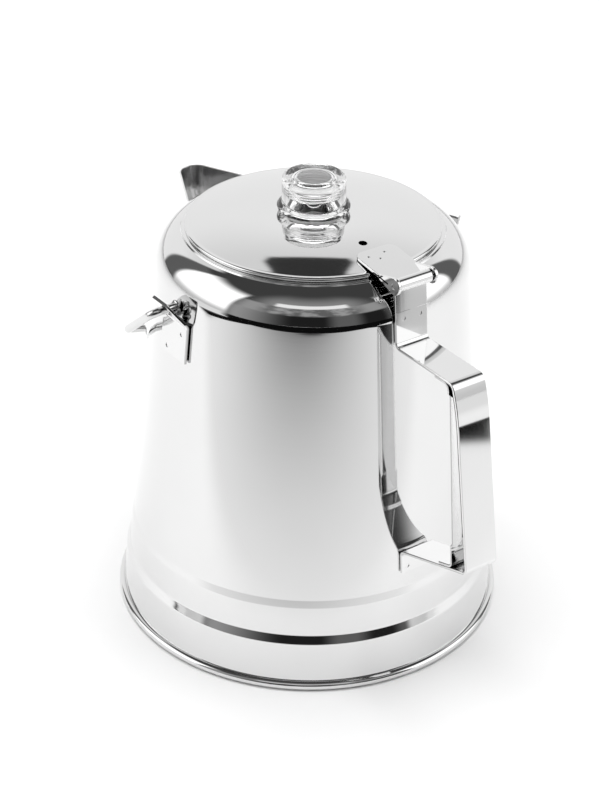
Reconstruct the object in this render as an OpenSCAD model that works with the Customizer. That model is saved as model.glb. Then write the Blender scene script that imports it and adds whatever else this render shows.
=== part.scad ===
// Stovetop percolator coffee pot with a hinged lid, glass knob, strap handle and wire bail.
// Origin: centre of the flat base. +X points to the spout, -X to the handle, +Y to the left ear.

/* [Body] */
// Outer radius that the straight wall would have at the floor
wall_r0 = 90.9; // [85:0.1:96]
// Radius lost by the wall for each millimetre of height
wall_taper = 0.098; // [0.09:0.001:0.105]
// Thickness of the sheet metal of the body
sheet = 0.9; // [0.7:0.1:1.1]
// Height at which the wall turns into the shoulder
shoulder_z = 180; // [178:0.5:181]
// Radius of the shoulder's bend
shoulder_r = 20; // [19:0.5:20.5]
// Heights of the upper band step, low and high
upper_band = [42, 47]; // [40:1:50]
// How far the upper band step stands out
upper_band_out = 0.6; // [0.4:0.1:0.9]
// Heights of the lower band step, low and high
lower_band = [23, 28]; // [20:1:32]
// How far the lower band step stands out
lower_band_out = 1.4; // [1:0.1:1.6]
// Radius of the round mouth
mouth_r = 55; // [54.5:0.1:55.5]
// Height of the flat seat that the lid rests on
seat_z = 197.2; // [197:0.1:197.4]
// Outer radius of that seat
seat_r = 60.9; // [60.6:0.1:61]
// Radius of the rolled seam round the base
rim_wire_r = 2.2; // [2:0.1:2.3]
// Distance from the centre line to the middle of the rolled seam
rim_centre_r = 92.8; // [92.4:0.1:93.2]

/* [Spout] */
// Distance from the centre line to the tip of the lip
spout_reach = 108.2; // [106:0.1:110]
// Height of the level top edge of the spout
spout_tip_z = 185.8; // [184:0.1:186.5]
// Width of the lip across its rounded tip
spout_lip_w = 17.4; // [14:0.2:19]
// Height at which the keel meets the wall
spout_keel_z = 104; // [100:1:120]
// Height of the upright part under the lip
spout_shelf = 12; // [8:0.5:14]
// Half width of the trough where it meets the shoulder
spout_root_half = 29; // [26:0.5:30]
// Diameter of the strainer holes in the wall behind the spout
strainer_hole_d = 3.2; // [2.5:0.1:4]

/* [Handle] */
// Width of the strap
strap_w = 17.5; // [17:0.1:18]
// Thickness of the strap
strap_t = 1.4; // [1.2:0.1:1.5]
// Distance from the centre line and height of the upper corner of the grip
grip_top = [114.2, 169.5]; // [110:0.1:172]
// Distance from the centre line and height of the point where the grip bends back
grip_bow = [118.45, 158.4]; // [116:0.05:160]
// Distance from the centre line and height of the lower corner of the grip
grip_low = [131.15, 80.8]; // [80:0.05:132]
// Height at which the upper arm leaves the wall
arm_top_z = 169.4; // [168:0.1:171]
// Height at which the lower arm reaches the wall
arm_low_z = 66.1; // [64:0.1:70]
// Height of the foot of the lower tab
tab_foot_z = 55; // [54:0.5:58]
// Thickness of the grip liner
liner_t = 1.2; // [1:0.1:1.3]
// Space between the strap and the edges of the liner's side flanges
flange_gap = 0.35; // [0.2:0.05:1]
// Distance between strap and liner at the top and at the foot of the grip
liner_gap = [3, 10.6]; // [3:0.1:11]

/* [Hinge] */
// Distance from the centre line and height of the hinge axis
hinge_at = [74.3, 200]; // [74:0.1:201]
// Outer radius of the strap's rolled barrel
barrel_r = 3; // [2.9:0.1:3.2]
// Radius of the hinge pin
pin_r = 1.5; // [1.3:0.05:1.55]
// Radial clearance between the pin and the barrel
pin_gap = 0.06; // [0.03:0.01:0.09]

/* [Lid] */
// Outer radius of the lid over its bead
lid_r = 59.3; // [59:0.1:59.6]
// Radius of the wire bead round the lid
bead_r = 1.1; // [1:0.05:1.2]
// Height of the flat pad in the middle of the lid
lid_top_z = 204; // [203.5:0.1:204.5]
// Radius of that flat pad
pad_r = 18.5; // [17:0.5:20]
// Outer radius of the collar under the lid
collar_r = 53.8; // [53.4:0.1:53.9]
// Height of the collar's lower edge
collar_z = 190; // [189:0.5:192]
// Diameter of the steam vent
vent_d = 4; // [3:0.1:4.5]
// Distance from the centre line to the vent
vent_at = 37.8; // [34:0.1:39]
// Width of the hinge tab
tab_w = 21.6; // [21.2:0.1:22]
// Thickness of the hinge tab
tab_t = 1.4; // [1.2:0.1:1.5]

/* [Knob] */
// Radius of the glass knob's straight part
knob_r = 14.7; // [14:0.1:15]
// Radius of the ring round the knob's foot
knob_ring_r = 16.9; // [16:0.1:17.4]
// Height of the top of the knob
knob_top_z = 221.8; // [220:0.1:223]
// Outer radius of the knob's neck
neck_r = 9.6; // [9.3:0.1:9.8]

/* [Bail] */
// Diameter of the bail wire
wire_d = 4; // [3.6:0.1:4.2]
// Height of the bail's pivot axis
pivot_z = 176.5; // [176:0.5:177]
// Distance from the middle of the pot to each leg of the bail
bail_leg_y = 87.3; // [87:0.1:90]
// Reach of the wire from the pivot axis to the bail's knees
bail_knee = 29; // [26:0.5:32]
// Distance from the middle of the pot, and reach, of the bail's shoulders
bail_shoulder = [73.9, 41]; // [38:0.1:76]
// Reach of the wire from the pivot axis to the top of the loop
bail_reach = 116.5; // [116:0.5:118]
// Angle at which the bail hangs below the level
bail_hang = 39; // [36:1:40]

/* [Brewing insert] */
// Outer radius of the pump stem
stem_r = 3.5; // [3.4:0.05:3.6]
// Inner radius of the pump stem
stem_bore_r = 2.7; // [2.5:0.05:2.8]
// Height of the top of the stem
stem_top_z = 198; // [196:0.5:199]
// Radius of the bell at the foot of the stem
bell_r = 26; // [24:0.5:30]
// Outer radius of the coffee basket
basket_r = 46; // [44:0.5:47]
// Height of the basket's floor
basket_z = 138; // [130:1:142]
// Height of the basket's wall
basket_h = 44; // [40:1:45]

/* [Hidden] */

seam_gap = 0.05;
spout_gap = 0.08;
weld_d = 2.4;
weld_depth = 0.3;
taper_angle = atan(wall_taper);
plate_floor = 1;
big = 300;
round_fn = 128;

// Points of an arc about a centre.
function arc(centre, r, from, to, steps) =
    [for (i = [0:steps]) centre + r * [cos(from + (to - from) * i / steps), sin(from + (to - from) * i / steps)]];

// Outer radius of the plain wall at a height.
function wall(z) = wall_r0 - wall_taper * z;

// Unit vector from one point to the next, and that vector turned left.
function toward(a, b) = (b - a) / norm(b - a);
function left_of(v) = [-v[1], v[0]];

// The point beside a corner of a path, at a distance to its left.
function beside(p, i, d) =
    let (n = len(p))
    let (a = i == 0 ? toward(p[0], p[1]) : toward(p[i - 1], p[i]))
    let (b = i == n - 1 ? a : toward(p[i], p[i + 1]))
    let (m = left_of(a) + left_of(b))
    p[i] + m * (2 * d / (m * m));

// A path with its inner corners rounded; radii holds one radius for each corner.
function rounded(p, radii, steps = 6) =
    [for (i = [0:len(p) - 1])
        let (r = radii[i])
        let (a = i == 0 ? [0, 0] : toward(p[i - 1], p[i]))
        let (b = i == len(p) - 1 ? [0, 0] : toward(p[i], p[i + 1]))
        let (turn = i == 0 || i == len(p) - 1 ? 0 : acos(min(1, a * b)))
        let (side = a[0] * b[1] - a[1] * b[0] > 0 ? 1 : -1)
        let (back = r * tan(turn / 2))
        let (centre = p[i] - a * back + left_of(a) * r * side)
        let (start = atan2(-left_of(a)[1] * side, -left_of(a)[0] * side))
        for (q = r == 0 || turn == 0 ? [p[i]] : arc(centre, r, start, start + turn * side, steps)) q];

// Outline of a ribbon of even thickness along a path.
function ribbon(p, t) =
    concat([for (i = [0:len(p) - 1]) beside(p, i, t / 2)],
           [for (i = [len(p) - 1:-1:0]) beside(p, i, -t / 2)]);

// The handle's side: x is the distance from the centre line towards -X, y is the height.
module on_handle_side(width) {
    rotate([90, 0, 180]) linear_extrude(height = width, center = true) children();
}

// A hole with its axis along Y through a point of the handle's side.
module across(at, r, length) {
    translate([-at[0], 0, at[1]]) rotate([90, 0, 0]) cylinder(r = r, h = length, center = true, $fn = 64);
}

module ring_of(count, radius, from = 0) {
    for (i = [0:count - 1]) rotate([0, 0, from + i * 360 / count]) translate([radius, 0, 0]) children();
}

// ---- Body ----

body_foot_z = 2 * rim_wire_r + seam_gap;
below_bands = upper_band_out + lower_band_out;
shoulder_c = [wall(shoulder_z) - shoulder_r * cos(taper_angle), shoulder_z - shoulder_r * sin(taper_angle)];
shoulder_end = acos((seat_r + 0.3 - shoulder_c[0]) / shoulder_r);

// The outside of the wall from foot to shoulder, moved in by a thickness.
function wall_line(t) = [
    [wall(body_foot_z) + below_bands - t, body_foot_z],
    [wall(lower_band[0]) + below_bands - t, lower_band[0]],
    [wall(lower_band[1]) + upper_band_out - t, lower_band[1]],
    [wall(upper_band[0]) + upper_band_out - t, upper_band[0]],
    [wall(upper_band[1]) - t, upper_band[1]]];

function reversed(p) = [for (i = [len(p) - 1:-1:0]) p[i]];

module body_profile() {
    outside = concat(wall_line(0), arc(shoulder_c, shoulder_r, taper_angle, shoulder_end, 16));
    inside = concat(wall_line(sheet), arc(shoulder_c, shoulder_r - sheet, taper_angle, shoulder_end, 16));
    mouth = concat(
        [[seat_r, seat_z]],
        arc([mouth_r + 1, seat_z - 1], 1, 90, 180, 4),
        [[mouth_r, seat_z - 8], [mouth_r + sheet, seat_z - 8], [mouth_r + sheet, seat_z - sheet],
         [seat_r - 0.6, seat_z - sheet]]);
    polygon(concat(outside, mouth, reversed(inside)));
}

strainer_rows = 6;
strainer_pitch = 8;
strainer_low_z = 132;

module strainer_holes() {
    for (row = [0:strainer_rows - 1]) {
        half = floor(row / 2) + 1;
        for (i = [-half:half])
            translate([wall(150) - 15, i * 6, strainer_low_z + row * strainer_pitch])
                rotate([0, 90, 0]) cylinder(d = strainer_hole_d, h = 40, $fn = 32);
    }
}

module body_shell() {
    color("silver") difference() {
        rotate_extrude($fn = round_fn) body_profile();
        strainer_holes();
    }
}

module bottom_plate() {
    step_r = 84;
    edge_r = rim_centre_r - rim_wire_r - seam_gap;
    lift = 1.6;
    color("lightgray") rotate_extrude($fn = round_fn) polygon([
        [0, 0], [step_r, 0], [step_r + 2, lift], [edge_r, lift], [edge_r, lift + plate_floor],
        [step_r + 1.4, lift + plate_floor], [step_r - 0.6, plate_floor], [0, plate_floor]]);
}

module base_rim() {
    flat = 0.12;
    color("gainsboro") rotate_extrude($fn = round_fn) intersection() {
        translate([rim_centre_r, rim_wire_r - flat]) circle(r = rim_wire_r, $fn = 48);
        translate([rim_centre_r - 5, 0]) square([10, 10]);
    }
}

// ---- Spout ----

// The V-shaped trough before it is cut open, moved in by a thickness.
module spout_wedge(t) {
    hull() {
        translate([spout_reach - spout_lip_w / 2, 0, spout_tip_z - spout_shelf])
            cylinder(r = spout_lip_w / 2 - t, h = spout_shelf + 12, $fn = 32);
        translate([wall(shoulder_z) - 16, -spout_root_half + t, spout_tip_z - spout_shelf])
            cube([4, 2 * (spout_root_half - t), spout_shelf + 12]);
        translate([wall(spout_keel_z) - 6, 0, spout_keel_z])
            rotate([0, 20, 0]) cylinder(r = 5 - t, h = 4, $fn = 32);
    }
}

module spout() {
    color("lightgray") difference() {
        spout_wedge(0);
        spout_wedge(sheet);
        translate([0, -50, spout_tip_z]) cube([spout_reach + 10, 100, 60]);
        rotate_extrude($fn = round_fn) union() {
            polygon([[0, 0], [wall(0) + spout_gap, 0], [wall(shoulder_z) + spout_gap, shoulder_z], [0, shoulder_z]]);
            translate([0, shoulder_c[1]]) square([shoulder_c[0], shoulder_r + 8]);
            intersection() {
                translate(shoulder_c) circle(r = shoulder_r + spout_gap, $fn = 96);
                translate([shoulder_c[0] - 1, shoulder_c[1]]) square([30, 30]);
            }
        }
    }
}

// ---- Handle ----

wall_offset = seam_gap + strap_t / 2;
function strap_on_wall(z) = [wall(z) + wall_offset / cos(taper_angle), z];
barrel_in = hinge_at[0] - barrel_r + strap_t / 2;
bow_r = 90;
strap_path = rounded(
    [[barrel_in, hinge_at[1]], strap_on_wall(186), strap_on_wall(arm_top_z), grip_top, grip_bow, grip_low,
     strap_on_wall(arm_low_z), strap_on_wall(tab_foot_z)],
    [0, 30, 3, 3.5, bow_r, 3, 3, 0]);

module handle_strap() {
    color("gainsboro") difference() {
        union() {
            on_handle_side(strap_w) polygon(ribbon(strap_path, strap_t));
            across(hinge_at, barrel_r, strap_w);
        }
        across(hinge_at, pin_r + pin_gap, strap_w + 2);
        for (y = [-4.5, 4.5]) weld_mark(strap_on_wall(182.6), y);
        for (y = [-5.5, 5.5]) weld_mark(strap_on_wall(58.1), y);
    }
}

// A shallow round spot-weld mark in the outer face of the strap.
module weld_mark(at, y) {
    translate([-at[0], y, at[1]]) rotate([0, -90 + taper_angle, 0])
        translate([0, 0, strap_t / 2 - weld_depth]) cylinder(d = weld_d, h = 5, $fn = 24);
}

grip_dir = toward(grip_top, grip_low);
arm_dir = toward(strap_on_wall(arm_top_z), grip_top);
low_dir = toward(strap_on_wall(arm_low_z), grip_low);
stack = (strap_t + liner_t) / 2 + seam_gap;

// Where the liner's line meets the line just inside each arm.
function meet(p, u, q, v) = p + u * ((v[1] * (q[0] - p[0]) - v[0] * (q[1] - p[1])) / (u[0] * v[1] - u[1] * v[0]));

liner_a = grip_top - [liner_gap[0], 0];
liner_b = grip_low - [liner_gap[1], 0];
liner_dir = toward(liner_a, liner_b);
liner_hi = meet(liner_a, liner_dir, grip_top + left_of(arm_dir) * -stack, arm_dir);
liner_lo = meet(liner_a, liner_dir, grip_low + left_of(low_dir) * stack, low_dir);
liner_curl = 9;
liner_path = rounded(
    [liner_hi - arm_dir * liner_curl, liner_hi, liner_lo, liner_lo - low_dir * liner_curl],
    [0, 3, 2.4, 0]);

flange_top_z = 164;
flange_curve_z = 103;
flange_foot_z = 89;
grip_line = rounded([grip_top, grip_bow, grip_low], [0, bow_r, 0]);
flange_edge = [for (i = [0:len(grip_line) - 1]) beside(grip_line, i, -strap_t / 2 - flange_gap)];
flange_last = len(flange_edge) - 1;

// The point at a height on the straight line through two points.
function at_height(a, b, z) = a + (b - a) * ((z - a[1]) / (b[1] - a[1]));

// A curve from the first point to the last that sets out towards the middle one.
function curve(a, b, c, steps) =
    [for (i = [1:steps]) let (t = i / steps) a * (1 - t) * (1 - t) + 2 * b * t * (1 - t) + c * t * t];

// Side view of a flange: it follows the inside of the grip and curves back to the liner near its foot.
flange_outline = concat(
    [at_height(liner_hi, liner_lo, flange_top_z)],
    [for (i = [1:flange_last]) if (flange_edge[i - 1][1] >= flange_top_z && flange_edge[i][1] < flange_top_z)
        at_height(flange_edge[i - 1], flange_edge[i], flange_top_z)],
    [for (q = flange_edge) if (q[1] < flange_top_z && q[1] > flange_curve_z) q],
    let (from = at_height(flange_edge[flange_last - 1], flange_edge[flange_last], flange_curve_z))
    let (corner = at_height(flange_edge[flange_last - 1], flange_edge[flange_last], flange_foot_z + 3))
    concat([from], curve(from, corner, at_height(liner_hi, liner_lo, flange_foot_z), 6)));

module handle_liner() {
    color("lightgray") union() {
        on_handle_side(strap_w - 0.4) polygon(ribbon(liner_path, liner_t));
        for (s = [-1, 1])
            translate([0, s * (strap_w - 0.4 - liner_t) / 2, 0])
                on_handle_side(liner_t) polygon(flange_outline);
    }
}

// ---- Ears and bail ----

ear_half = 10;
ear_low_z = 152;
ear_bend_z = 170;
ear_t = 1.4;
lug_rise = 54.4;
lug_len = 19;
lug_tip_half = 5.7;
lug_tip_z = 182;
lug_taper_z = 171.5;
hole_gap = 0.3;
function ear_on_wall(z) = [wall(z) + (seam_gap + ear_t / 2) / cos(taper_angle), z];
ear_path = rounded(
    [ear_on_wall(ear_low_z), ear_on_wall(ear_bend_z),
     ear_on_wall(ear_bend_z) + lug_len * [cos(lug_rise), sin(lug_rise)]],
    [0, 2.5, 0]);

// The ear on the +Y side: a plate on the wall whose top is bent out into a tapered lug.
module ear() {
    outline = rounded(
        [[ear_half, ear_low_z - 2], [ear_half, lug_taper_z], [lug_tip_half, lug_tip_z],
         [-lug_tip_half, lug_tip_z], [-ear_half, lug_taper_z], [-ear_half, ear_low_z - 2]],
        [0, 3, 2, 2, 3, 0]);
    difference() {
        intersection() {
            rotate([90, 0, 90]) linear_extrude(height = 2 * ear_half + 2, center = true)
                polygon(ribbon(ear_path, ear_t));
            translate([0, 100, 0]) rotate([90, 0, 0]) linear_extrude(height = 40) polygon(outline);
        }
        translate([0, 70, pivot_z]) rotate([-90, 0, 0]) cylinder(r = wire_d / 2 + hole_gap, h = 30, $fn = 48);
        ear_weld(-6.1, 165.1);
        ear_weld(4.8, 155.2);
    }
}

module ear_weld(x, z) {
    translate([x, ear_on_wall(z)[0], z]) rotate([-90 + taper_angle, 0, 0])
        translate([0, 0, ear_t / 2 - weld_depth]) cylinder(d = weld_d, h = 5, $fn = 24);
}

module ear_left() {
    color("silver") ear();
}

module ear_right() {
    color("silver") mirror([0, 1, 0]) ear();
}

stub_head_y = 74.5;
stub_head_t = 1.2;
loop_lean = 25.6;
// The straight lines of both shoulders meet at this reach; the loop rounds that corner.
loop_corner = bail_shoulder[1] + bail_shoulder[0] / tan(loop_lean);
loop_r = (loop_corner - bail_reach) / (1 / sin(loop_lean) - 1);
// The straight pieces run a little way into the bends, so that the wire is one solid.
leg_lap = 0.1;
leg_thinner = 0.02;
bail_line = [
    [stub_head_y + leg_lap, 0], [bail_leg_y, 0], [bail_leg_y, bail_knee], bail_shoulder, [0, loop_corner],
    [-bail_shoulder[0], bail_shoulder[1]], [-bail_leg_y, bail_knee], [-bail_leg_y, 0],
    [-stub_head_y - leg_lap, 0]];
bail_bends = [0, 4, 6, 8, loop_r, 8, 6, 4, 0];
bail_last = len(bail_line) - 1;

// How much the wire turns at a corner of its line, and how far before the corner the bend starts.
function bail_turn(i) = i == 0 || i == bail_last ? 0 :
    acos(toward(bail_line[i - 1], bail_line[i]) * toward(bail_line[i], bail_line[i + 1]));
function bail_back(i) = bail_bends[i] * tan(bail_turn(i) / 2);

module bail_straight(i) {
    dir = toward(bail_line[i], bail_line[i + 1]);
    from = bail_line[i] + dir * (bail_back(i) - leg_lap);
    length = norm(bail_line[i + 1] - bail_line[i]) - bail_back(i) - bail_back(i + 1) + 2 * leg_lap;
    translate([from[0], from[1], 0]) rotate([0, 0, atan2(dir[1], dir[0])]) rotate([0, 90, 0])
        cylinder(d = wire_d - leg_thinner, h = length, $fn = 48);
}

module bail_bend(i) {
    before = toward(bail_line[i - 1], bail_line[i]);
    after = toward(bail_line[i], bail_line[i + 1]);
    side = before[0] * after[1] - before[1] * after[0] > 0 ? 1 : -1;
    centre = bail_line[i] - before * bail_back(i) + left_of(before) * bail_bends[i] * side;
    start = atan2(-left_of(before)[1] * side, -left_of(before)[0] * side);
    translate([centre[0], centre[1], 0]) rotate([0, 0, side > 0 ? start : start - bail_turn(i)])
        rotate_extrude(angle = bail_turn(i), $fn = 96) translate([bail_bends[i], 0]) circle(d = wire_d, $fn = 48);
}

// The wire is drawn flat: x is across the pot, y is the reach from the pivot.
module bail() {
    color("gainsboro") translate([0, 0, pivot_z]) rotate([0, bail_hang, 0]) rotate([0, 0, -90]) union() {
        for (i = [0:bail_last - 1]) bail_straight(i);
        for (i = [1:bail_last - 1]) bail_bend(i);
        for (s = [-1, 1]) translate([s * (stub_head_y + stub_head_t / 2), 0, 0]) rotate([0, 90, 0])
            cylinder(d = wire_d + 2, h = stub_head_t, center = true, $fn = 48);
    }
}

// ---- Lid ----

lid_t = 0.8;
bead_c = [lid_r - bead_r, seat_z + seam_gap + bead_r];
dome_edge = lid_r - 1.3;
dome_drop = lid_top_z - bead_c[1] - bead_r + 0.05;
function dome(r) = lid_top_z - dome_drop * pow(max(0, r - pad_r) / (dome_edge - pad_r), 2);
lid_hole_r = neck_r + 0.6;
notch_r = 12.9;
notch_angle = 56;

module sector(r, angle) {
    polygon(concat([[0, 0]], arc([0, 0], r, -angle / 2, angle / 2, 12)));
}

module lid_shell() {
    top_line = [for (i = [0:16]) let (r = pad_r + (dome_edge - pad_r) * i / 16) [r, dome(r)]];
    under_edge = bead_c[0] - bead_r;
    under_line = [for (i = [16:-1:0]) let (r = pad_r + (under_edge - pad_r) * i / 16) [r, dome(r) - lid_t]];
    bead_line = arc(bead_c, bead_r, 90, -195, 24);
    color("silver") difference() {
        rotate_extrude($fn = round_fn)
            polygon(concat([[0, lid_top_z]], top_line, bead_line, under_line, [[0, lid_top_z - lid_t]]));
        translate([0, 0, lid_top_z - 5]) cylinder(r = lid_hole_r, h = 10, $fn = 96);
        for (turn = [0, 180]) rotate([0, 0, turn])
            translate([0, 0, lid_top_z - 5]) linear_extrude(height = 10) sector(notch_r, notch_angle);
        translate([-vent_at, 0, lid_top_z - 10]) cylinder(d = vent_d, h = 20, $fn = 32);
    }
}

module lid_collar() {
    inner = collar_r - 0.8;
    color("lightgray") rotate_extrude($fn = round_fn) polygon([
        [inner, collar_z], [collar_r, collar_z], [collar_r, dome(collar_r) - lid_t - seam_gap],
        [inner - 3, dome(inner - 3) - lid_t - seam_gap], [inner - 3, dome(inner - 3) - 2 * lid_t - seam_gap],
        [inner, dome(inner) - 2 * lid_t - seam_gap]]);
}

tab_from = 45;
tab_to = hinge_at[0] - barrel_r - 0.8;
tab_slope = 0.12;
tab_corner_r = 4;
lug_r = 4;
lug_in = strap_w / 2 + 0.6;
function tab_line(x) = dome(tab_from) + seam_gap - tab_slope * (x - tab_from);

module lid_tab() {
    lug_t = tab_w / 2 - lug_in;
    color("gainsboro") difference() {
        union() {
            intersection() {
                on_handle_side(tab_w) polygon([
                    [tab_from, tab_line(tab_from)], [tab_to, tab_line(tab_to)],
                    [tab_to, tab_line(tab_to) + tab_t], [tab_from, tab_line(tab_from) + tab_t]]);
                linear_extrude(height = big) polygon(rounded(
                    [[-tab_to - 1, tab_w / 2], [-tab_to - 1, -tab_w / 2], [-tab_from, -tab_w / 2],
                     [-tab_from, tab_w / 2], [-tab_to - 1, tab_w / 2]],
                    [0, 0, tab_corner_r, tab_corner_r, 0]));
            }
            for (s = [-1, 1]) translate([0, s * (tab_w - lug_t) / 2, 0]) {
                across(hinge_at, lug_r, lug_t);
                on_handle_side(lug_t) polygon([
                    [63, tab_line(63) + tab_t], [63, tab_line(63)], [hinge_at[0] - 1, hinge_at[1] - lug_r],
                    [hinge_at[0], hinge_at[1] + lug_r]]);
            }
        }
        across(hinge_at, pin_r + 0.01, tab_w + 2);
        for (w = [[49.9, -2.8], [50.2, 6.1], [53.5, 2.1]])
            translate([-w[0], w[1], tab_line(w[0]) + tab_t - weld_depth]) cylinder(d = 1.6, h = 5, $fn = 24);
    }
}

module hinge_pin() {
    head_from = tab_w / 2 + seam_gap;
    recess = 0.3;
    near_end = tab_w / 2 - recess;
    color("darkgray") translate([-hinge_at[0], 0, hinge_at[1]]) rotate([90, 0, 0]) union() {
        translate([0, 0, -near_end]) cylinder(r = pin_r, h = near_end + head_from + 0.6, $fn = 64);
        translate([0, 0, head_from]) cylinder(r = 2.9, h = 1.3, $fn = 48);
    }
}

// ---- Knob ----

gasket_h = 0.9;
knob_foot_z = lid_top_z + gasket_h + seam_gap;
neck_foot_z = 199.4;
lug_top_gap = 0.3;

module knob() {
    lug_top = lid_top_z - lid_t - lug_top_gap;
    top_bend = 2.2;
    crown_r = 10.6;
    crown_z = knob_top_z - 2.6;
    outside = concat(
        [[neck_r, neck_foot_z], [neck_r, knob_foot_z], [knob_ring_r - 2.6, knob_foot_z]],
        arc([knob_ring_r - 1.5, knob_foot_z + 1.9], 1.5, -50, 80, 8),
        [[knob_r, knob_foot_z + 4.4]],
        arc([knob_r - top_bend, knob_top_z - top_bend], top_bend, 0, 90, 6));
    inside = concat(
        arc([crown_r - 2.5, crown_z - 2.5], 2.5, 90, 0, 6),
        [[crown_r, knob_foot_z + 3.4], [neck_r - 2.4, knob_foot_z - 1], [neck_r - 2.4, neck_foot_z]]);
    color([0.9, 0.95, 1, 0.5]) union() {
        rotate_extrude($fn = 96) polygon(concat(outside, [[0, knob_top_z], [0, crown_z]], inside));
        for (turn = [90, 270]) rotate([0, 0, turn])
            translate([0, 0, lug_top - 1.6]) linear_extrude(height = 1.6) difference() {
                sector(notch_r - 0.5, notch_angle - 8);
                circle(r = neck_r - 0.4, $fn = 96);
            }
    }
}

module knob_gasket() {
    color("whitesmoke") translate([0, 0, lid_top_z + seam_gap / 2]) linear_extrude(height = gasket_h) difference() {
        circle(r = knob_ring_r - 2.8, $fn = 96);
        circle(r = notch_r + 0.2, $fn = 96);
    }
}

// ---- Brewing insert ----

bell_top_z = 12;
bell_top_r = 11;
valve_t = 0.8;
stop_z = 7.4;
stop_t = 0.8;

module pump_stem() {
    color("silver") difference() {
        union() {
            translate([0, 0, stop_z]) cylinder(r = stem_r, h = stem_top_z - stop_z, $fn = 64);
            translate([0, 0, stop_z]) cylinder(r = stem_r + 2.5, h = stop_t, $fn = 64);
        }
        translate([0, 0, stop_z - 1]) cylinder(r = stem_bore_r, h = big, $fn = 64);
    }
}

module stem_collar() {
    color("gray") translate([0, 0, basket_z - seam_gap - 3]) linear_extrude(height = 3) difference() {
        circle(r = stem_r + 4, $fn = 64);
        circle(r = stem_r + 0.02, $fn = 64);
    }
}

module pump_base() {
    foot_z = plate_floor + seam_gap;
    t = 0.8;
    color("lightgray") difference() {
        rotate_extrude($fn = 96) polygon([
            [bell_r, foot_z], [bell_r, foot_z + t], [bell_top_r, bell_top_z], [stem_r + 0.02, bell_top_z],
            [stem_r + 0.02, bell_top_z - t], [bell_top_r - 0.4, bell_top_z - t], [bell_r - 1.6, foot_z]]);
        ring_of(6, 7.4) translate([0, 0, bell_top_z - 3]) cylinder(d = 2.4, h = 6, $fn = 24);
        ring_of(4, bell_r - 1, 45) translate([0, 0, foot_z - 1]) cylinder(d = 5, h = 3, $fn = 32);
    }
}

module pump_valve() {
    color("gray") translate([0, 0, stop_z + stop_t + seam_gap]) linear_extrude(height = valve_t) difference() {
        circle(r = 9.4, $fn = 64);
        circle(r = stem_r + 0.3, $fn = 64);
    }
}

tube_gap = 0.4;
tube_t = 0.8;
tube_out = stem_r + tube_gap + tube_t;

module basket() {
    t = 0.7;
    curl = 1.1;
    color("silver") difference() {
        rotate_extrude($fn = round_fn) union() {
            polygon([
                [tube_out + seam_gap, basket_z], [basket_r - 3, basket_z], [basket_r, basket_z + 3],
                [basket_r, basket_z + basket_h], [basket_r - t, basket_z + basket_h],
                [basket_r - t, basket_z + 3.2], [basket_r - 3.2, basket_z + t], [tube_out + seam_gap, basket_z + t]]);
            translate([basket_r + curl - t, basket_z + basket_h]) circle(r = curl, $fn = 24);
        }
        for (row = [1:4])
            ring_of(6 * row, 4 + 8.6 * row, row * 7)
                translate([0, 0, basket_z - 1]) cylinder(d = 2.2, h = 3, $fn = 20);
        for (row = [0:1])
            for (i = [0:23]) rotate([0, 0, (i + row / 2) * 15])
                translate([basket_r - 3, 0, basket_z + 8 + row * 7]) rotate([0, 90, 0]) cylinder(d = 2.2, h = 6, $fn = 20);
    }
}

module basket_tube() {
    color("lightgray") translate([0, 0, basket_z]) linear_extrude(height = basket_h - 4) difference() {
        circle(r = tube_out, $fn = 64);
        circle(r = stem_r + tube_gap, $fn = 64);
    }
}

module basket_lid() {
    t = 0.7;
    rest_z = basket_z + basket_h + 1.1 + seam_gap;
    inside_r = basket_r - 1.2;
    color("silver") difference() {
        rotate_extrude($fn = round_fn) polygon([
            [stem_r + 0.5, rest_z - 3], [inside_r, rest_z - 3], [inside_r, rest_z], [basket_r + 0.8, rest_z],
            [basket_r + 0.8, rest_z + t], [inside_r - t, rest_z + t], [inside_r - t, rest_z - 3 + t],
            [stem_r + 0.5, rest_z - 3 + t]]);
        for (row = [1:4])
            ring_of(6 * row, 2 + 8.8 * row, row * 11)
                translate([0, 0, rest_z - 4]) cylinder(d = 2, h = 3, $fn = 20);
    }
}

body_shell();
bottom_plate();
base_rim();
spout();
handle_strap();
handle_liner();
ear_left();
ear_right();
bail();
lid_shell();
lid_collar();
lid_tab();
hinge_pin();
knob();
knob_gasket();
pump_stem();
stem_collar();
pump_base();
pump_valve();
basket();
basket_tube();
basket_lid();
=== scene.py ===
import math

import bmesh
import bpy
from mathutils import Matrix, Vector


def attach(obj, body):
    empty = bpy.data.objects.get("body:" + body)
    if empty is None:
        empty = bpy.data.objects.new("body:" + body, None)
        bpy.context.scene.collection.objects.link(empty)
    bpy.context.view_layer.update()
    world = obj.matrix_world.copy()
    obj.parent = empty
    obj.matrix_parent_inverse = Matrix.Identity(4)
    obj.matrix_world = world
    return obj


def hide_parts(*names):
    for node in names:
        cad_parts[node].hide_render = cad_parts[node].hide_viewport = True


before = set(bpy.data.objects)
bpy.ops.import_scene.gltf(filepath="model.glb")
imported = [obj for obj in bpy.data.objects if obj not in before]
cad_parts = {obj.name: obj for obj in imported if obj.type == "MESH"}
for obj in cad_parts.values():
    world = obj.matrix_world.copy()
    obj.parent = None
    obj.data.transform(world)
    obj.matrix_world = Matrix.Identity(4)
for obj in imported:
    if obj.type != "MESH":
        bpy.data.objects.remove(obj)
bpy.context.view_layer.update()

MM = 0.001
SHARP_DEG = 32
WELD_DISTANCE = 1e-7
TINY = 1e-6

# ---------------------------------------------------------------- small helpers


def arc(centre, radius, start, end, steps):
    """Points on an arc in a flat plane; angles in degrees."""
    out = []
    for i in range(steps + 1):
        a = math.radians(start + (end - start) * i / steps)
        out.append((centre[0] + radius * math.cos(a), centre[1] + radius * math.sin(a)))
    return out


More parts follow.
